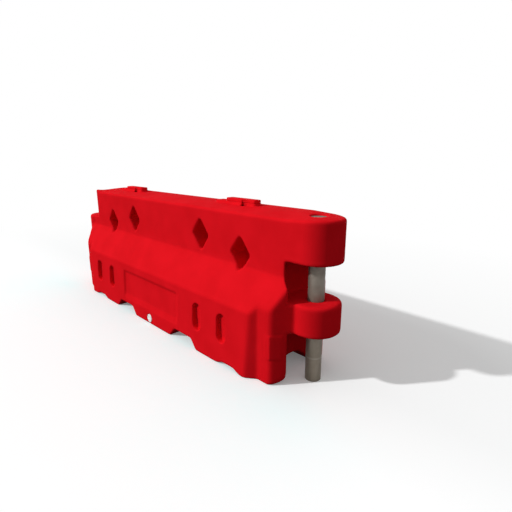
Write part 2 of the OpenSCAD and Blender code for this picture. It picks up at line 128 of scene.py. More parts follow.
def outline_distance(u, v, points):
    """Signed distance to a closed outline at every (u, v) of a grid, negative inside."""
    U, V = np.meshgrid(u, v, indexing="ij")
    nearest = np.full(U.shape, np.inf)
    inside = np.zeros(U.shape, bool)
    for a, b in zip(points, np.roll(points, -1, 0)):
        e = b - a
        t = np.clip(((U - a[0]) * e[0] + (V - a[1]) * e[1]) / (e @ e), 0, 1)
        nearest = np.minimum(nearest, (U - a[0] - t * e[0]) ** 2 + (V - a[1] - t * e[1]) ** 2)
        if a[1] != b[1]:
            left = U < a[0] + (V - a[1]) * e[0] / e[1]
            inside ^= left & ((a[1] > V) != (b[1] > V))
    return (np.where(inside, -1, 1) * np.sqrt(nearest)).astype(np.float32)


# %% [markdown]
# ## Joining and cutting with soft edges
# The larger of two distances is what both solids share, and the smaller is both together.
# Near an edge both are close to zero, and there a quarter circle of radius r takes the
# place of the sharp corner: the length of the vector of the two depths, measured from r
# inside. Cutting b out of a is the larger of a and minus b.

# %% Soft joins, cuts and boxes


def both(a, b, r=0.0):
    """Intersection of two distances with the edge rounded to radius r."""
    if r == 0:
        return np.maximum(a, b)
    return np.minimum(np.maximum(a, b), -r) + np.hypot(np.maximum(a + r, 0), np.maximum(b + r, 0))


def join(a, b, r=0.0):
    """Union of two distances with a fillet of radius r in the corner."""
    return -both(-a, -b, r)


def cut(a, b, r=0.0):
    """What is left of a when b is taken out, with the rim rounded to radius r."""
    return both(a, -b, r)


def soften(field, times=1):
    """Each value becomes the mean of its neighbours with weights 1 4 6 4 1: edges melt, faces stay."""
    for _ in range(times):
        for axis in range(3):
            rim = [(2, 2) if a == axis else (0, 0) for a in range(3)]
            f = np.moveaxis(np.pad(field, rim, "edge"), axis, 0)
            n = f.shape[0] - 4
            mean = (f[:n] + f[4:]) / 16 + (f[1:n + 1] + f[3:n + 3]) / 4 + f[2:n + 2] * 0.375
            field = np.moveaxis(mean, 0, axis)
    return np.ascontiguousarray(field)


def rectangle(u, v, half_u, half_v, r):
    """Distance to a rectangle about the origin with corners of radius r."""
    a, b = np.abs(u) - half_u + r, np.abs(v) - half_v + r
    return np.minimum(np.maximum(a, b), 0) + np.hypot(np.maximum(a, 0), np.maximum(b, 0)) - r


# %% [markdown]
# ## From a field to a skin
# The skin passes where the distance is zero. Space is split into small cubes. Each cube
# that the skin crosses gets one point, at the mean of where it crosses the cube's edges,
# and each grid edge that it crosses gives one face between the four cubes around it. Two
# steps along the slope of the field then put every point exactly on the skin.

# %% Field to mesh


def sample(field, p):
    """Value of the field at points p given in grid units, weighted by how near each grid corner is."""
    top = np.array(field.shape) - 2
    i = np.clip(np.floor(p).astype(int), 0, top)
    f = np.clip(p - i, 0, 1)
    total = 0
    for corner in range(8):
        d = np.array([corner >> 2 & 1, corner >> 1 & 1, corner & 1])
        weight = np.prod(np.where(d, f, 1 - f), axis=1)
        j = i + d
        total = total + weight * field[j[:, 0], j[:, 1], j[:, 2]]
    return total


def slope(field, p, h=0.6):
    """Gradient of the field at points p, in field units per cell."""
    steps = np.eye(3) * h
    return np.stack([(sample(field, p + s) - sample(field, p - s)) / (2 * h) for s in steps], 1)


def skin(field):
    """Points in grid units and four-sided faces of the surface where the field is zero."""
    inside = field < 0
    count = sum(
        inside[a:a - 1 or None, b:b - 1 or None, c:c - 1 or None].astype(np.int8)
        for a in (0, 1) for b in (0, 1) for c in (0, 1)
    )
    active = (count > 0) & (count < 8)
    number = np.full(active.shape, -1, np.int32)
    number[active] = np.arange(np.count_nonzero(active))
    cell = np.stack(np.nonzero(active), 1)
    total, hits = np.zeros(cell.shape), np.zeros(len(cell))
    for axis in range(3):
        for other in range(4):
            a = np.insert([other >> 1 & 1, other & 1], axis, 0)
            b = a + np.eye(3, dtype=int)[axis]
            va, vb = field[tuple((cell + a).T)], field[tuple((cell + b).T)]
            crossed = (va < 0) != (vb < 0)
            t = va / np.where(va == vb, 1, va - vb)
            total += crossed[:, None] * (a + t[:, None] * (b - a))
            hits += crossed
    points = cell + total / hits[:, None]
    faces = []
    for axis in range(3):
        u, v = (axis + 1) % 3, (axis + 2) % 3
        low = np.moveaxis(inside, (axis, u, v), (0, 1, 2))
        crossed = low[:-1, 1:-1, 1:-1] != low[1:, 1:-1, 1:-1]
        at = np.stack(np.nonzero(crossed), 1)
        base = np.zeros_like(at)
        base[:, axis], base[:, u], base[:, v] = at[:, 0], at[:, 1] + 1, at[:, 2] + 1
        eu, ev = np.eye(3, dtype=int)[u], np.eye(3, dtype=int)[v]
        quad = np.stack([number[tuple((base - s).T)] for s in (eu + ev, ev, 0 * eu, eu)], 1)
        leaving = inside[tuple(base.T)]
        faces.append(np.where(leaving[:, None], quad, quad[:, ::-1]))
    for _ in range(2):
        g = slope(field, points)
        move = sample(field, points) / np.maximum((g ** 2).sum(1), 1e-6)
        points = points - np.clip(move, -1, 1)[:, None] * g
    return points, np.concatenate(faces)


def mesh_object(name, points, faces, smooth=True):
    """A mesh object from arrays of points in metres and of four-sided faces."""
    mesh = bpy.data.meshes.new(name)
    mesh.vertices.add(len(points))
    mesh.vertices.foreach_set("co", np.asarray(points, np.float32).ravel())
    mesh.loops.add(faces.size)
    mesh.loops.foreach_set("vertex_index", faces.astype(np.int32).ravel())
    mesh.polygons.add(len(faces))
    mesh.polygons.foreach_set("loop_start", np.arange(len(faces), dtype=np.int32) * faces.shape[1])
    mesh.polygons.foreach_set("use_smooth", np.full(len(faces), smooth))
    mesh.update(calc_edges=True)
    mesh.validate()
    piece = bpy.data.objects.new(name, mesh)
    bpy.context.scene.collection.objects.link(piece)
    return piece


def read_points(mesh):
    """The mesh's points as an array."""
    co = np.empty(len(mesh.vertices) * 3, np.float32)
    mesh.vertices.foreach_get("co", co)
    return co.reshape(-1, 3).astype(float)


def moulded(name, field, low, step, keep=1.0):
    """The field's skin as an object, thinned to the share keep of its faces, with normals along the slope."""
    points, faces = skin(field)
    piece = mesh_object(name, (points * step + low) * MM, faces)
    if keep < 1:
        thin = piece.modifiers.new("thin", "DECIMATE")
        thin.ratio = keep
        full = piece.data
        view = piece.evaluated_get(bpy.context.evaluated_depsgraph_get())
        piece.data = bpy.data.meshes.new_from_object(view)
        piece.modifiers.clear()
        bpy.data.meshes.remove(full)
        piece.data.name = name
    at = (read_points(piece.data) / MM - low) / step
    g = slope(field, at)
    g /= np.maximum(np.linalg.norm(g, axis=1), 1e-6)[:, None]
    piece.data.normals_split_custom_set_from_vertices(g.tolist())
    triangles = sum(len(p.vertices) - 2 for p in piece.data.polygons)
    print(name, len(piece.data.vertices), "points,", triangles, "triangles")
    return piece


# %% [markdown]
# ## The main form
# The cross-section is carried along the barrier and cut to the plan seen from above, which
# narrows at both ends to a column with a sloped front corner. Round recesses about the two
# pin axes leave room for the lugs of the next barrier, and the barrier's own lugs stand
# between them. Outlines run on above the top and below the floor, and the flat foot and
# the crowned top are cut by themselves. Blending neighbouring values makes it all soft.

# %% Grid of the shell
STEP = 5.0
LOW = np.array([-1130.0, -240.0, -15.0])
x = np.arange(LOW[0], 1125.0, STEP)
y = np.arange(LOW[1], 241.0, STEP)
z = np.arange(LOW[2], 760.0, STEP)
X, Y, Z = (a.astype(np.float32) for a in (x[:, None, None], y[None, :, None], z[None, None, :]))
near_rho, far_rho = np.hypot(X - PIN_X, Y), np.hypot(X + PIN_X, Y)
print("grid", len(x), len(y), len(z))

# %% Cross-section and plan
half = np.array([
    [face_y(-UNDER), -UNDER], [SHOULDER_W / 2, SHOULDER_Z],
    [UPPER_W / 2, SHOULDER_TOP_Z], [UPPER_W / 2, 2 * HEIGHT],
])
section = np.concatenate([half, half[::-1] * [-1, 1]])
blends = [0, BLEND_R, BLEND_R, 0]
section_d = outline_distance(y, z, rounded(section, blends + blends[::-1]))[None]


def top_z(X, Y):
    """Height of the top: crowned like a parabola and lower at the front, but flat at the plain end."""
    fall = TOP_FALL * np.clip((PIN_X + FALL_END - X) / FALL_RUN, 0, 1)
    out = np.maximum(X - PIN_X, 0)
    lower = 1 - fall * Y / UPPER_W + TOP_CROWN * (Y ** 2 + out ** 2) / (UPPER_W / 2) ** 2
    return HEIGHT - lower * np.clip((X - LEVEL_X) / LEVEL_RUN, 0, 1)


above = Z - top_z(X, Y)


def end_corners(reach, side):
    """Half the plan at one end: the sloped cut, the column's front, its corner, and the run to the lugs."""
    pin = PIN_X + reach
    inner = CORNER_BACK - (COLUMN_Y - 60) / np.tan(END_ANGLE)
    return np.array([
        [side * (pin - CUT_START), -BASE_W / 2 - 10], [side * (pin - CUT_END), -COLUMN_Y],
        [side * (pin - CORNER_BACK), -COLUMN_Y], [side * (pin - inner), -60],
    ])


near, far = end_corners(0, 1), end_corners(FAR_REACH, -1)
plan = np.concatenate([near, near[::-1] * [1, -1], far * [1, -1], far[::-1]])


def plan_distance(r):
    """Distance to the plan with the columns' corners rounded to r."""
    end = [0, r / 2, r, 0]
    return outline_distance(x, y, rounded(plan, end + end[::-1] + end + end[::-1]))[:, :, None]


body = both(section_d, plan_distance(CORNER_R), 6.0)
pad_zone = np.maximum(np.abs(Z - (PAD_Z + PAD_TOP_Z) / 2) - (PAD_TOP_Z - PAD_Z) / 2, 132 - np.abs(Y))
near_corner, far_corner = PIN_X - CORNER_BACK - CORNER_R, -PIN_X + CORNER_BACK - 2 * FAR_REACH
reach = (CORNER_R + FAR_REACH) / 2
in_x = np.minimum(np.abs(X - near_corner - reach), np.abs(X - far_corner - reach)) - reach
pads = both(both(section_d, plan_distance(0.0), 3.0), np.maximum(pad_zone, in_x), 10.0)
upright = np.maximum(section_d, np.abs(X) - PIN_X)
upright = np.maximum(upright, np.maximum(LOW_LUG_TOP_Z - Z, np.abs(Y) - UPPER_W / 2))
body = both(join(body, upright), above, TOP_R)

# %% Round recesses, rounded column tips and lugs


def layer(z0, z1):
    """Distance to the space between two heights."""
    return np.maximum(z0 - Z, Z - z1)


def tip(scoop_r, reach):
    """How far beyond the pin axis the column's run-in face meets the round recess."""
    d = (reach - CORNER_BACK) * np.sin(END_ANGLE) + COLUMN_Y * np.cos(END_ANGLE)
    return d * np.sin(END_ANGLE) - np.sqrt(scoop_r ** 2 - d ** 2) * np.cos(END_ANGLE)


MID_LUG_Z, MID_LUG_TOP_Z = LOW_LUG_TOP_Z + LUG_GAP, TOP_LUG_Z - LUG_GAP
BOTTOM_LUG_TOP_Z = LOW_LUG_Z - LUG_GAP
for z0, z1 in [(LOW_LUG_TOP_Z, TOP_LUG_Z), (-99, LOW_LUG_Z)]:
    body = cut(body, both(near_rho - NEAR_SCOOP_R, layer(z0, z1)), 5.0)
for z0, z1 in [(MID_LUG_TOP_Z, 999), (BOTTOM_LUG_TOP_Z, MID_LUG_Z), (-99, BOTTOM_LUG_Z)]:
    body = cut(body, both(far_rho - FAR_SCOOP_R, layer(z0, z1)), 5.0)
x0, x1 = -PIN_X - tip(FAR_SCOOP_R, FAR_REACH), PIN_X + tip(NEAR_SCOOP_R, 0)
t = np.linspace(0, np.pi / 2, 16)[:, None]
arc = np.vstack([[-TIP_RUN - 1, -UNDER], np.hstack([TIP_RUN * (np.sin(t) - 1), TIP_RISE * (1 - np.cos(t))])])
under = np.concatenate([(arc * [-1, 1] + [x0, 0])[::-1], arc + [x1, 0], [[x1, 2000], [x0, 2000]]])
under = outline_distance(x, z, under)[:, None]
body = np.where(Z < 200, both(body, under, 8.0), body)


def lug(rho, r, z0, above, top_r):
    """A round lug: distance from its side, cut where above is positive and below z0, with rounded rims."""
    return both(both(rho - r, above, top_r), z0 - Z, LUG_UNDER_R)


body = join(body, lug(near_rho, LUG_R, TOP_LUG_Z, above, TOP_R))
body = join(body, lug(near_rho, LUG_R, LOW_LUG_Z, Z - LOW_LUG_TOP_Z, LUG_EDGE_R))
body = join(body, lug(far_rho, FAR_LUG_R, MID_LUG_Z, Z - MID_LUG_TOP_Z, LUG_EDGE_R))
body = join(body, lug(far_rho, FAR_LUG_R, BOTTOM_LUG_Z, Z - BOTTOM_LUG_TOP_Z, LUG_EDGE_R))

# %% [markdown]
# ## Openings in the moulding
# Four diamond openings go through the upright wall for hands and slings. Two pairs of
# forklift openings, low notches and an arch run under the base. Each side has four upright
# pockets and a long sunk panel with a sloped sill, where owners put their own sign. Each
# is an outline in one plane with a depth in the other direction.

# %% Diamonds, floor openings, pockets and panels
for side in (-1, 1):
    for cx, cz in DIAMONDS:
        across, upward = np.array([DIAMOND_HALF_W, 0]), np.array([0, DIAMOND_HALF_H])
        corners = np.array([side * cx, cz]) + [-upward, across, upward, -across]
        body = cut(body, outline_distance(x, z, rounded(corners, [DIAMOND_R] * 4))[:, None], 5.0)


def floor_outline(a, b, h, run, r):
    """An opening under the base from a to b, h high, whose sides lean in by run."""
    drop = UNDER * run / h
    return rounded([[a - drop, -UNDER], [b + drop, -UNDER], [b - run, h], [a + run, h]], [0, 0, r, r])


for a, b, h, run, r in [FORK_OPENING, LOW_NOTCH]:
    for s in (-1, 1):
        gap = floor_outline(a, b, h, run, r) if s > 0 else floor_outline(-b, -a, h, run, r)
        body = cut(body, outline_distance(x, z, gap)[:, None], 2.0)
arch = outline_distance(y, z, floor_outline(-ARCH_HALF_W, ARCH_HALF_W, ARCH_H, ARCH_H, ARCH_R))[None]
body = cut(body, both(arch, ARCH_X - X), 4.0)

sunk_y = [PANEL_DEPTH - face_y(PANEL_LOW), PANEL_DEPTH - face_y(PANEL_HIGH)]
sill = np.array([
    [-400, PANEL_SILL], [-face_y(PANEL_SILL), PANEL_SILL],
    [sunk_y[0], PANEL_LOW], [sunk_y[1], PANEL_HIGH], [-400, PANEL_HIGH],
])
panel = np.minimum(outline_distance(y, z, sill), outline_distance(-y, z, sill))[None]
body = cut(body, both(panel, np.abs(X - PANEL_X) - PANEL_HALF_L, 4.0), 3.0)
body = both(join(soften(body), pads, 3.0), -Z, 1.0)
pocket_floor = face_y((POCKET_LOW + POCKET_HIGH) / 2) - POCKET_DEPTH
for cx in POCKETS:
    pocket = np.hypot(X - cx, Z - np.clip(Z, POCKET_LOW, POCKET_HIGH)) - POCKET_R
    body = cut(body, both(pocket, pocket_floor - np.abs(Y), 3.0), 3.0)
print("main form:", int((body < 0).sum() * STEP ** 3 / 1e6), "litres")

# %% [markdown]
# ## Seats, mouths and holes
# These are crisper than the rest, because the mould has metal inserts there, so they are
# cut after the softening. The space inside is opened where the filler mouths let one look
# in. Elsewhere nobody sees the inner skin, and leaving it out halves the mesh.

# %% Filler seats, drain recess, chamber under the mouths
for cx in (FILLER_NEAR, FILLER_FAR):
    seat = rectangle(X - cx + SEAT_RUN / 2, Y - FILLER_Y, SEAT_L / 2, SEAT_W / 2, SEAT_R)
    body = join(body, both(seat, layer(HEIGHT - 45, HEIGHT + SEAT_H), 3.0), 8.0)
body = cut(body, both(np.hypot(X - DRAIN_X, Z - DRAIN_Z) - DRAIN_R, Y - SEAT_Y, 2.0), 2.0)
under_mouths = np.minimum(np.abs(X - FILLER_NEAR), np.abs(X - FILLER_FAR)) - CHAMBER_REACH
chamber = both(both(body + WALL + 1, under_mouths, 20.0), CHAMBER_Z - Z, 20.0)
body = cut(body, chamber)
for cx in (FILLER_NEAR, FILLER_FAR):
    mouth = both(rectangle(X - cx, Y - FILLER_Y, MOUTH_L / 2, MOUTH_W / 2, MOUTH_R), HEIGHT - 30 - Z)
    body = cut(body, mouth, 1.5)
    notch = rectangle(X - cx - FINGER_X, Y - FILLER_Y + SEAT_W / 2, FINGER_W / 2, FINGER_DEPTH, 2.0)
    body = cut(body, both(notch, HEIGHT - NOTCH_SINK - Z), 1.5)
for rho, rims in [(near_rho, [LOW_LUG_TOP_Z, HEIGHT, LOW_LUG_Z, TOP_LUG_Z]),
                  (far_rho, [BOTTOM_LUG_TOP_Z, MID_LUG_TOP_Z, BOTTOM_LUG_Z, MID_LUG_Z])]:
    flare = sum(np.clip(LEAD_IN - np.abs(Z - rim), 0, None) for rim in rims)
    body = cut(body, rho - BORE_R - flare)

# %% Shell object
shell = moulded("moulded_shell", body, LOW, STEP, keep=0.35)
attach(shell, "barrier")
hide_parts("shell")

# %% [markdown]
# ## Lids
# Each lid is a thick plate with soft edges and a finger notch in its front edge. A hollow
# skirt underneath plugs the mouth. It is small, so the same field method runs on a grid
# of 1.5 mm.

# %% Lids


def make_lid(name, cx):
    """Plate, skirt and notch as distances about the lid's own middle, then moved to cx."""
    step = 1.5
    low = np.array([-LID_L / 2 - 6, -LID_W / 2 - 6, -GASKET_T - SKIRT - 6])
    gx, gy, gz = (np.arange(low[i], h, step) for i, h in enumerate((LID_L / 2 + 6, LID_W / 2 + 6, LID_T + 6)))
    A, B, C = gx[:, None, None], gy[None, :, None], gz[None, None, :]
    plate = both(rectangle(A, B, LID_L / 2, LID_W / 2, MOUTH_R), C - LID_T, 4.0)
    plate = both(plate, -C, 1.0)
    skirt_l, skirt_w, skirt_r = MOUTH_L / 2 - SKIRT_GAP, MOUTH_W / 2 - SKIRT_GAP, MOUTH_R - SKIRT_GAP
    skirt = both(rectangle(A, B, skirt_l, skirt_w, skirt_r), np.maximum(-GASKET_T - SKIRT - C, C - 2), 2.0)
    inner = rectangle(A, B, skirt_l - SKIRT_WALL, skirt_w - SKIRT_WALL, skirt_r - SKIRT_WALL)
    lip = both(rectangle(A, B, LID_L / 2, LID_W / 2, MOUTH_R), np.abs(C) - GASKET_T + 0.15)
    lip = cut(lip, rectangle(A, B, LID_L / 2 - LID_RIM, LID_W / 2 - LID_RIM, MOUTH_R - LID_RIM))
    form = cut(join(join(plate, skirt), lip), both(inner, C + 1.5), 1.0)
    finger = rectangle(A - FINGER_X, B + SEAT_W / 2, FINGER_W / 2, FINGER_DEPTH, 2.0)
    form = cut(form, both(finger, C - LID_T + LID_ROOF), 1.0)
    place = np.array([cx, FILLER_Y, HEIGHT + SEAT_H + GASKET_T])
    return moulded(name, form, low + place, step, keep=0.6)


for tag, cx in (("near", FILLER_NEAR), ("far", FILLER_FAR)):
    lid = make_lid("lid_plate_" + tag, cx)
    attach(lid, "lid_" + tag)
    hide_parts("filler_lid_" + tag)

# %% [markdown]
# ## Rings carried along a path
# A gasket is a small rounded section carried along a closed path, and a tube is a section
# turned about an axis. Both are one grid: the first number runs along the path and the
# second round the section. The grid is closed by joining its last row to its first.

# %% Closed grids


def closed_grid(name, P):
    """A tube-like mesh from points P[i, j], joined end to end in both directions."""
    nu, nv = P.shape[:2]
    i, j = np.meshgrid(np.arange(nu), np.arange(nv), indexing="ij")
    a, b = (i + 1) % nu, (j + 1) % nv
    faces = np.stack([i * nv + j, a * nv + j, a * nv + b, i * nv + b], -1).reshape(-1, 4)
    piece = mesh_object(name, P.reshape(-1, 3) * MM, faces)
    bm = bmesh.new()
    bm.from_mesh(piece.data)
    bmesh.ops.remove_doubles(bm, verts=bm.verts, dist=1e-6)
    bmesh.ops.recalc_face_normals(bm, faces=bm.faces)
    bm.to_mesh(piece.data)
    bm.free()
    return piece


def ring_along(name, path, outward, z0, width, thick):
    """A flat ring: a rounded section, width by thick, carried along a path with outward directions."""
    t = np.linspace(0, 2 * np.pi, 17)[:-1]
    across = width / 2 * (1 + np.sign(np.cos(t)) * np.abs(np.cos(t)) ** 0.4)
    up = thick / 2 * (1 + np.sign(np.sin(t)) * np.abs(np.sin(t)) ** 0.4)
    flat = path[:, None] + outward[:, None] * across[None, :, None]
    return closed_grid(name, np.concatenate([flat, np.broadcast_to(z0 + up, flat.shape[:2])[..., None]], -1))


# %% Lid gaskets
for tag, cx in (("near", FILLER_NEAR), ("far", FILLER_FAR)):
    hl, hw, hr = MOUTH_L / 2 - SKIRT_GAP, MOUTH_W / 2 - SKIRT_GAP, MOUTH_R - SKIRT_GAP
    path = rounded([[-hl, -hw], [hl, -hw], [hl, hw], [-hl, hw]], [hr] * 4)
    core = np.clip(path, [hr - hl, hr - hw], [hl - hr, hw - hr])
    outward = (path - core) / np.linalg.norm(path - core, axis=1)[:, None]
    path = path + [cx, FILLER_Y]
    gasket = ring_along("gasket_" + tag, path, outward, HEIGHT + SEAT_H, GASKET_W / 2, GASKET_T)
    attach(gasket, "lid_" + tag)
    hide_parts("filler_gasket_" + tag)

# %% [markdown]
# ## The coupling pin
# A length of 70 mm steel tube with sawn, deburred ends. A round plate sits just inside the
# top end. Turned sections make both.

# %% Turned pieces


def turned(name, r, h, centre, axis="z", sides=96):
    """The section (r, h) turned about an axis: at angle t, centre + r (cos t, sin t) + h along it."""
    t = np.linspace(0, 2 * np.pi, sides + 1)[:-1, None]
    r, h = np.asarray(r)[None], np.asarray(h)[None]
    a, b, c = r * np.cos(t), r * np.sin(t), h + 0 * t
    P = np.stack([a, b, c], -1) if axis == "z" else np.stack([a, -c, b], -1)
    return closed_grid(name, P + np.asarray(centre))


inner = PIN_R - PIN_WALL
r = [PIN_R, PIN_R, PIN_R - 1, inner + 1, inner, inner, inner + 1, PIN_R - 1]
h = [1, PIN_TOP_Z - 1, PIN_TOP_Z, PIN_TOP_Z, PIN_TOP_Z - 1, 1, 0, 0]
tube = turned("steel_tube", r, h, [PIN_X, 0, 0])
plate_top = PIN_TOP_Z - 1
r = [0, inner - 0.5, inner, inner, inner - 3.6, 0]
h = [plate_top - 6, plate_top - 6, plate_top - 5.5, plate_top - 0.2, plate_top, plate_top]
plate = turned("top_plate", r, h, [PIN_X, 0, 0])
for piece, node in ((tube, "pin_tube"), (plate, "pin_top_plate")):
    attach(piece, "coupling_pin")
    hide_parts(node)

# %% [markdown]
# ## The drain
# A white screw plug closes the drain. Its head has a driver slot and its shank a thread of
# 4 mm pitch, and one turn brings it 4 mm out. The thread is a turned surface whose radius
# also follows the angle: it rises and falls once for each 4 mm along the axis, and this
# wave moves along by one pitch in a full turn. The brass ring in the wall has the same
# wave inside.

# %% Screw threads
PITCH = 4.0


def wave(angle, along):
    """0 in the groove and 1 on the crest of a right-hand thread, with flat crests."""
    phase = (along / PITCH - angle / (2 * np.pi)) % 1.0
    return np.clip(1.6 - 4.2 * np.abs(phase - 0.5), 0, 1)


def threaded(name, r, h, groove, where, centre, sides=72):
    """A turned section whose radius is cut by groove times one minus the wave, weighted by where."""
    t = np.linspace(0, 2 * np.pi, sides + 1)[:-1, None]
    r, h = np.asarray(r)[None], np.asarray(h)[None]
    radius = r - groove * np.asarray(where)[None] * (1 - wave(t, h))
    P = np.stack([radius * np.cos(t), -(h + 0 * t), radius * np.sin(t)], -1)
    return closed_grid(name, P + np.asarray(centre))


# %% Plug, seal and insert
SHANK_R, SHANK_L, SEAL_T, HEAD_R, HEAD_T = 14.0, 22.0, 2.5, 24.0, 7.0
THREAD_DEPTH, BORE_INSERT = 1.4, SHANK_R + 0.25
at_head = [DRAIN_X, SEAT_Y - SEAL_T, DRAIN_Z]
along = np.arange(-SHANK_L - SEAL_T, 0.01, 0.5)
fade = np.clip((along + SHANK_L + SEAL_T) / 2, 0, 1) * np.clip((-along - 1) / 2, 0, 1)
taper = np.clip(along + SHANK_L + SEAL_T, 0, 1.5) - 1.5
r, h, where = np.r_[0, SHANK_R + taper, 0], np.r_[along[0], along, 0], np.r_[0, fade, 0]
shank = threaded("plug_shank", r, h, THREAD_DEPTH, where, at_head)

step = 1.0
low = np.array([-HEAD_R - 4, -HEAD_T - 4, -HEAD_R - 4])
gx, gy, gz = (np.arange(low[i], high, step) for i, high in enumerate((HEAD_R + 4, 4, HEAD_R + 4)))
A, B, C = gx[:, None, None], gy[None, :, None], gz[None, None, :]
rho = np.hypot(A, C)
head = both(both(rho - HEAD_R, -HEAD_T - B, 2.5), B, 0.8)
head = cut(head, both(both(np.abs(C) - 3, np.abs(A) - 19, 2.0), B + HEAD_T - 3), 0.6)
head = moulded("plug_head", head, low + at_head, step)

t = np.linspace(0, 2 * np.pi, 17)[:-1]
r, h = BORE_INSERT + 2 + 2 * np.cos(t), SEAL_T / 2 * (1 + np.sin(t))
seal = turned("seal_ring", r, h, [DRAIN_X, SEAT_Y, DRAIN_Z], "y")

run = np.arange(-24, 0.01, 0.5)
r = np.r_[BORE_INSERT + 0 * run, BORE_INSERT + 4, BORE_INSERT + 4, 22, 22, BORE_INSERT + 4, BORE_INSERT + 4]
h = np.r_[run, 0, -7, -7, -11, -11, -24]
where = np.r_[-np.clip(np.minimum(run + 24, -run) / 2, 0, 1), np.zeros(6)]
insert = threaded("threaded_insert", r, h, THREAD_DEPTH, where, [DRAIN_X, SEAT_Y, DRAIN_Z])
for piece, body_name, node, slot in (
    (shank, "drain_screw", "drain_plug", "plug_white"), (head, "drain_screw", "drain_plug", "plug_white"),
    (seal, "drain_advance", "drain_seal", "seal_rubber"), (insert, "barrier", "drain_insert", "insert_brass"),
):
    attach(piece, body_name)
    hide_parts(node)

# %% [markdown]
# ## Materials
# A node material is a small network. One function adds a node with its settings and links,
# and colours are written as sRGB hex values and turned to linear.

# %% Material helpers


def linear(hex_colour, alpha=1.0):
    """sRGB hex to linear: below 0.04045 divide by 12.92, above it ((c + 0.055) / 1.055) ^ 2.4."""
    c = np.array([int(hex_colour[i:i + 2], 16) for i in (1, 3, 5)]) / 255
    c = np.where(c <= 0.04045, c / 12.92, ((c + 0.055) / 1.055) ** 2.4)
    return (*[float(v) for v in c], alpha)


def add(tree, kind, settings=(), inputs=()):
    """Adds a node, sets its properties, and sets or links its inputs."""
    node = tree.nodes.new(kind)
    for key, value in dict(settings).items():
        setattr(node, key, value)
    for key, value in dict(inputs).items():
        if isinstance(value, bpy.types.NodeSocket):
            tree.links.new(value, node.inputs[key])
        else:
            node.inputs[key].default_value = value
    return node


def start(name):
    """A new material with its tree, its shader and object coordinates."""
    material = bpy.data.materials.new(name)
    material.use_nodes = True
    tree = material.node_tree
    shader = tree.nodes["Principled BSDF"]
    place = add(tree, "ShaderNodeTexCoord").outputs["Object"]
    return material, tree, shader, place


def blotches(tree, place, size_mm, detail=3.0, roughness=0.5):
    """Soft noise whose spots are about size_mm across."""
    noise = add(tree, "ShaderNodeTexNoise", {}, {
        "Vector": place, "Scale": 1 / (size_mm * MM), "Detail": detail, "Roughness": roughness})
    return noise.outputs["Fac"]


def between(tree, value, low_in, high_in, low_out, high_out):
    """Maps a value from one range to another, held at both ends."""
    change = add(tree, "ShaderNodeMapRange", {"clamp": True}, {
        "Value": value, "From Min": low_in, "From Max": high_in, "To Min": low_out, "To Max": high_out})
    return change.outputs["Result"]


def mixed(tree, amount, first, second):
    """A colour between two, by amount."""
    node = add(tree, "ShaderNodeMix", {"data_type": "RGBA"})
    for key, value in ((0, amount), (6, first), (7, second)):
        if isinstance(value, bpy.types.NodeSocket):
            tree.links.new(value, node.inputs[key])
        else:
            node.inputs[key].default_value = value
    return node.outputs[2]


# %% [markdown]
# ### Rotationally moulded polyethylene
# The mould's sand-blasted face leaves a fine even grain, and powder that melts unevenly
# leaves slow waves. The finish is satin, with a faint mottle in the pigment.

# %% Red polyethylene


def polyethylene(name, red, deeper, grain_mm):
    """Satin plastic: mottled pigment, slow waves and a fine grain."""
    material, tree, shader, place = start(name)
    mottle = between(tree, blotches(tree, place, 120), 0.35, 0.65, 0, 1)
    tree.links.new(mixed(tree, mottle, linear(deeper), linear(red)), shader.inputs["Base Color"])
    rough = between(tree, blotches(tree, place, 30), 0.3, 0.7, 0.6, 0.7)
    tree.links.new(rough, shader.inputs["Roughness"])
    shader.inputs["IOR"].default_value = 1.5
    shader.inputs["Specular IOR Level"].default_value = 0.005
    waves = add(tree, "ShaderNodeBump", {}, {
        "Height": blotches(tree, place, 90, 1.0), "Strength": 0.3, "Distance": 0.002})
    grain = add(tree, "ShaderNodeBump", {}, {
        "Height": blotches(tree, place, grain_mm, 2.0), "Strength": 0.25, "Distance": 0.0004,
        "Normal": waves.outputs["Normal"]})
    tree.links.new(grain.outputs["Normal"], shader.inputs["Normal"])
    return material


red = polyethylene("red_rotomoulded_polyethylene", "#E2141F", "#DA121C", 5.0)
lid_red = polyethylene("red_injection_moulded_polyethylene", "#E51620", "#E0141E", 3.0)

# %% Steel, white plastic, rubber and brass
RING_Z, PAINTED_LIFT_Z = 0.11, 0.45
material, tree, shader, place = start("weathered_galvanised_steel")
patches = between(tree, blotches(tree, place, 60, 5.0, 0.6), 0.3, 0.7, 0, 1)
height = add(tree, "ShaderNodeSeparateXYZ", {}, {0: place}).outputs["Z"]
colour = mixed(tree, patches, linear("#837B71"), linear("#6F675D"))
# Painted light: the tube is coloured lighter and warmer towards its foot, fading out at 0.45 m, to make up
# for the shade the lugs cast on its lower part.
colour = mixed(tree, between(tree, height, 0.0, PAINTED_LIFT_Z, 0.4, 0), colour, linear("#B3A48F"))
off_ring = add(tree, "ShaderNodeMath", {"operation": "SUBTRACT"}, {0: height, 1: RING_Z})
off_ring = add(tree, "ShaderNodeMath", {"operation": "ABSOLUTE"}, {0: off_ring.outputs[0]}).outputs[0]
colour = mixed(tree, between(tree, off_ring, 0.001, 0.006, 0.2, 0), colour, linear("#D8CFC0"))
tree.links.new(colour, shader.inputs["Base Color"])
shader.inputs["Metallic"].default_value = 0.55
tree.links.new(between(tree, patches, 0, 1, 0.42, 0.62), shader.inputs["Roughness"])
bump = add(tree, "ShaderNodeBump", {}, {
    "Height": blotches(tree, place, 6, 3.0), "Strength": 0.3, "Distance": 0.0005})
tree.links.new(bump.outputs["Normal"], shader.inputs["Normal"])
steel = material

material, tree, shader, place = start("white_moulded_polypropylene")
colour = mixed(tree, blotches(tree, place, 8), linear("#F4F4F1"), linear("#ECECE8"))
tree.links.new(colour, shader.inputs["Base Color"])
shader.inputs["Roughness"].default_value = 0.4
white = material

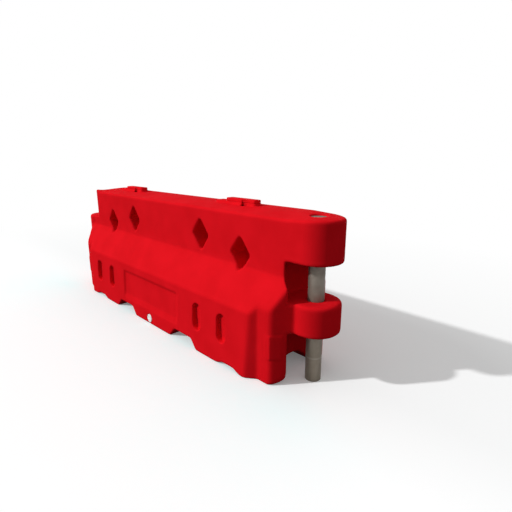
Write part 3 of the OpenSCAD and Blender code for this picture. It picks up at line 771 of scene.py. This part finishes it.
material, tree, shader, place = start("black_rubber")
colour = mixed(tree, blotches(tree, place, 3), linear("#1A1A1B"), linear("#242425"))
tree.links.new(colour, shader.inputs["Base Color"])
shader.inputs["Roughness"].default_value = 0.75
rubber = material

material, tree, shader, place = start("machined_brass")
colour = mixed(tree, blotches(tree, place, 5), linear("#C29A52"), linear("#A98443"))
tree.links.new(colour, shader.inputs["Base Color"])
shader.inputs["Metallic"].default_value = 1.0
shader.inputs["Roughness"].default_value = 0.32
brass = material

# %% Give the pieces their materials
finishes = {"shell_red": red, "lid_red": lid_red, "pin_steel": steel, "plug_white": white,
            "insert_brass": brass, "seal_rubber": rubber}
slots = {s["node"]: s["material_slot"] for s in frame["record"]["subparts"]}
for name, node in frame["nodes"].items():
    node.data.materials.clear()
    node.data.materials.append(finishes[slots[name]])
for piece, material in [(shell, red), (tube, steel), (plate, steel), (shank, white), (head, white),
                        (seal, rubber), (insert, brass)]:
    piece.data.materials.append(material)
for tag in ("near", "far"):
    bpy.data.objects["lid_plate_" + tag].data.materials.append(lid_red)
    bpy.data.objects["gasket_" + tag].data.materials.append(rubber)

# %% [markdown]
# ## Floor, light and camera
# The floor is a pale sheet that keeps the shadow and fades to white far away. Light that
#  bounces off it would lift the dark end of the barrier, so only the camera and reflections
#  see it pale. To them it also glows a little, more in front of the barrier than behind it,
#  which is painted light. Its colour is a shade less red, and clearly less red close to the
#  barrier's front: a painted tint that takes out the red light which the front throws down.
# The key light is a small sun to the front left, and the sky is brighter on that side.

# %% What the camera sees directly


def seen_directly(tree):
    """1 for rays from the camera, and for those that are mirrored or pass through, else 0."""
    path = add(tree, "ShaderNodeLightPath").outputs
    seen = path["Is Camera Ray"]
    for other in ("Is Glossy Ray", "Is Transmission Ray"):
        seen = add(tree, "ShaderNodeMath", {"operation": "MAXIMUM"}, {0: seen, 1: path[other]}).outputs[0]
    return seen


# %% Floor
RED_BOUNCE_TINT_AFTER_1_M, FADE_START, FADE_END = 0.06, 0.6, 3.0
corners = 9.0 * np.array([[-1, -1, 0], [1, -1, 0], [1, 1, 0], [-1, 1, 0]])
floor = mesh_object("floor", corners, np.array([[0, 1, 2, 3]]), smooth=False)
material, tree, shader, place = start("pale_floor")
seen = seen_directly(tree)
beyond = add(tree, "ShaderNodeVectorMath", {"operation": "ABSOLUTE"}, {0: place})
for operation, value in (("SUBTRACT", (1.1, 0.22, 0)), ("MAXIMUM", (0, 0, 0))):
    beyond = add(tree, "ShaderNodeVectorMath", {"operation": operation}, {0: beyond.outputs[0], 1: value})
away = add(tree, "ShaderNodeVectorMath", {"operation": "LENGTH"}, {0: beyond.outputs[0]}).outputs["Value"]
at = add(tree, "ShaderNodeSeparateXYZ", {}, {0: place}).outputs
# Painted tint: close to the barrier's front the floor is coloured less red, to take out the red light the
# barrier throws onto it.
red_bounce_tint = add(tree, "ShaderNodeMath", {"operation": "POWER"}, {0: RED_BOUNCE_TINT_AFTER_1_M, 1: away}).outputs[0]
for share in (between(tree, at["Y"], -0.3, -0.1, 1, 0), between(tree, at["X"], 0.8, 1.6, 1, 0)):
    red_bounce_tint = add(tree, "ShaderNodeMath", {"operation": "MULTIPLY"}, {0: red_bounce_tint, 1: share}).outputs[0]
far_fade = between(tree, away, FADE_START, FADE_END, 0, 1)
pale = mixed(tree, red_bounce_tint, linear("#F8F9F9"), linear("#DCF9F9"))
pale = mixed(tree, far_fade, pale, linear("#000000"))
tree.links.new(mixed(tree, seen, linear("#505050"), pale), shader.inputs["Base Color"])
# Painted light: the floor glows for the camera, more in front of the barrier than behind it, and fully far
# away where it fades to white.
glow = between(tree, far_fade, 0, 1, between(tree, at["Y"], -0.3, 0.1, 0.2, 0.12), 1.0)
glow = add(tree, "ShaderNodeMath", {"operation": "MULTIPLY"}, {0: glow, 1: seen})
tree.links.new(glow.outputs[0], shader.inputs["Emission Strength"])
shader.inputs["Emission Color"].default_value = (1, 1, 1, 1)
shader.inputs["Roughness"].default_value = 1.0
shader.inputs["Specular IOR Level"].default_value = 0.0
floor.data.materials.append(material)

# %% World and lamp
SKY_LEFT, SKY_RIGHT = 0.58, 0.34
SUN_POWER, SUN_SPREAD, SUN_HEIGHT, SUN_TURN = 2.42, 2.0, 32.7, -36.1
world = bpy.data.worlds.new("studio")
bpy.context.scene.world = world
world.use_nodes = True
tree = world.node_tree
back = tree.nodes["Background"]
side = add(tree, "ShaderNodeTexCoord").outputs["Generated"]
side = add(tree, "ShaderNodeSeparateXYZ", {}, {0: side}).outputs["X"]
sky = between(tree, side, -1, 1, SKY_LEFT, SKY_RIGHT)
white_out = add(tree, "ShaderNodeMix", {"data_type": "FLOAT"}, {0: seen_directly(tree), 2: sky, 3: 1.0})
back.inputs["Color"].default_value = (1, 1, 1, 1)
tree.links.new(white_out.outputs[0], back.inputs["Strength"])

lamp = bpy.data.lights.new("key", "SUN")
lamp.energy, lamp.angle = SUN_POWER, np.radians(SUN_SPREAD)
key = bpy.data.objects.new("key", lamp)
key.rotation_euler = (np.radians(90 - SUN_HEIGHT), 0, np.radians(SUN_TURN))
bpy.context.scene.collection.objects.link(key)

# %% Camera
EYE, LENS_MM, LOOK_DOWN, LOOK_ROUND = (1.91195, -1.24515, 0.94862), 27.13, 14.5, 45.71
camera_data = bpy.data.cameras.new("camera")
camera_data.lens, camera_data.sensor_width = LENS_MM, 36.0
camera_data.shift_x, camera_data.shift_y = 0.0015, 0.0008
camera = bpy.data.objects.new("camera", camera_data)
camera.location = EYE
camera.rotation_euler = (np.radians(90 - LOOK_DOWN), 0, np.radians(LOOK_ROUND))
bpy.context.scene.collection.objects.link(camera)
bpy.context.scene.camera = camera
bpy.context.scene.view_settings.view_transform = "Standard"
